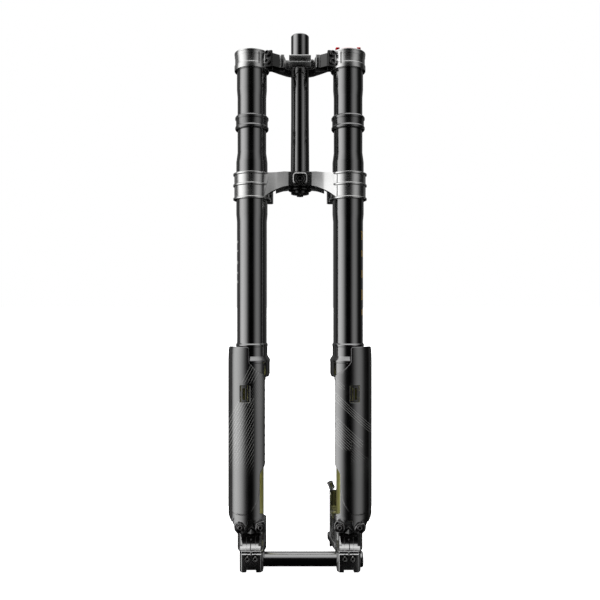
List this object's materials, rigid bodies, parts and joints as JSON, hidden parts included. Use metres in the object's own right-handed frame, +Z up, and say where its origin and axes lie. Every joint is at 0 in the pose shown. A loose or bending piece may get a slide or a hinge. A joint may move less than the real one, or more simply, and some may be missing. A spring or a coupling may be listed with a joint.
{
  "type": "suspension fork",
  "caption": "Upside-down dual-crown suspension fork: crowns clamp slim outer tubes, stanchions with guards slide below, with a through axle and a calliper mount.",
  "frame": {"origin": "the crown race seat on the steering axis: the flat top of the lower crown around the steerer", "axes": "+Z up the steerer, -Y to the front of the bike, +X to the viewer's right when seen from the front"},
  "size_m": [0.2236, 0.1055, 0.8241],
  "materials": {
    "crown_aluminium": "machined, satin clear anodised",
    "black_tube": "gloss black anodised tube",
    "axle_black": "black anodised tube",
    "stanchion_coating": "polished, olive-gold hard coating",
    "dropout_aluminium": "machined, dark grey anodised",
    "guard_plastic": "moulded black plastic with a light sheen",
    "black_hardware": "black oxide steel",
    "red_anodised": "red anodised",
    "bushing_bronze": "plain bronze bearing metal",
    "black_rubber": "moulded rubber",
    "bare_steel": "ground steel"
  },
  "bodies": {
    "upper_assembly": {"air_cylinder": "bare_steel", "air_seal_head": "bare_steel", "air_valve_cap": "guard_plastic", "crown_front_screw": "black_hardware", "damper_body": "bare_steel", "damper_seal_head": "bare_steel", "left_dust_wiper": "black_rubber", "left_frame_bumper": "black_rubber", "left_guide_bushing": "bushing_bronze", "left_oil_seal": "black_rubber", "left_outer_tube": "black_tube", "left_top_cap": "black_hardware", "lower_crown": "crown_aluminium", "lower_crown_screw_left_lower": "black_hardware", "lower_crown_screw_left_upper": "black_hardware", "lower_crown_screw_right_lower": "black_hardware", "lower_crown_screw_right_upper": "black_hardware", "right_dust_wiper": "black_rubber", "right_frame_bumper": "black_rubber", "right_guide_bushing": "bushing_bronze", "right_oil_seal": "black_rubber", "right_outer_tube": "black_tube", "right_top_cap": "black_hardware", "steerer_bottom_plug": "black_hardware", "steerer_pinch_screw": "black_hardware", "steerer_tube": "black_tube", "upper_crown": "crown_aluminium", "upper_crown_screw_left_lower": "black_hardware", "upper_crown_screw_left_upper": "black_hardware", "upper_crown_screw_right_lower": "black_hardware", "upper_crown_screw_right_upper": "black_hardware"},
    "lower_assembly": {"air_piston": "bushing_bronze", "air_piston_rod": "bare_steel", "damper_piston": "bushing_bronze", "damper_rod": "bare_steel", "hose_guide": "black_rubber", "left_axle_screw_inner": "black_hardware", "left_axle_screw_outer": "black_hardware", "left_bottom_out_bumper": "black_rubber", "left_dropout": "dropout_aluminium", "left_guard": "guard_plastic", "left_guard_clip": "guard_plastic", "left_guard_screw_inner": "black_hardware", "left_guard_screw_outer": "black_hardware", "left_slide_bushing": "bushing_bronze", "left_stanchion": "stanchion_coating", "right_axle_screw_inner": "black_hardware", "right_axle_screw_outer": "black_hardware", "right_bottom_out_bumper": "black_rubber", "right_dropout": "dropout_aluminium", "right_guard": "guard_plastic", "right_guard_clip": "guard_plastic", "right_guard_screw_inner": "black_hardware", "right_guard_screw_outer": "black_hardware", "right_slide_bushing": "bushing_bronze", "right_stanchion": "stanchion_coating"},
    "through_axle": {"axle": "axle_black"},
    "compression_dial": {"compression_dial": "red_anodised"},
    "rebound_knob": {"rebound_knob": "red_anodised"}
  },
  "joints": [
    {"name": "fork_travel", "type": "slide", "parent": "upper_assembly", "child": "lower_assembly", "axis": [0, 0, 1], "range_m": [0, 0.2], "stiffness_N_per_m": 4500, "springref_m": -0.03},
    {"name": "axle_withdraw", "type": "slide", "parent": "lower_assembly", "child": "through_axle", "axis": [1, 0, 0], "range_m": [0, 0.17]},
    {"name": "compression_turn", "type": "hinge", "parent": "upper_assembly", "child": "compression_dial", "pos_m": [0.075, -0.026, 0.186], "axis": [0, 0, 1], "range_deg": [-135, 135]},
    {"name": "rebound_turn", "type": "hinge", "parent": "lower_assembly", "child": "rebound_knob", "pos_m": [0.075, -0.026, -0.598], "axis": [0, 0, 1], "range_deg": [-180, 180]}
  ]
}
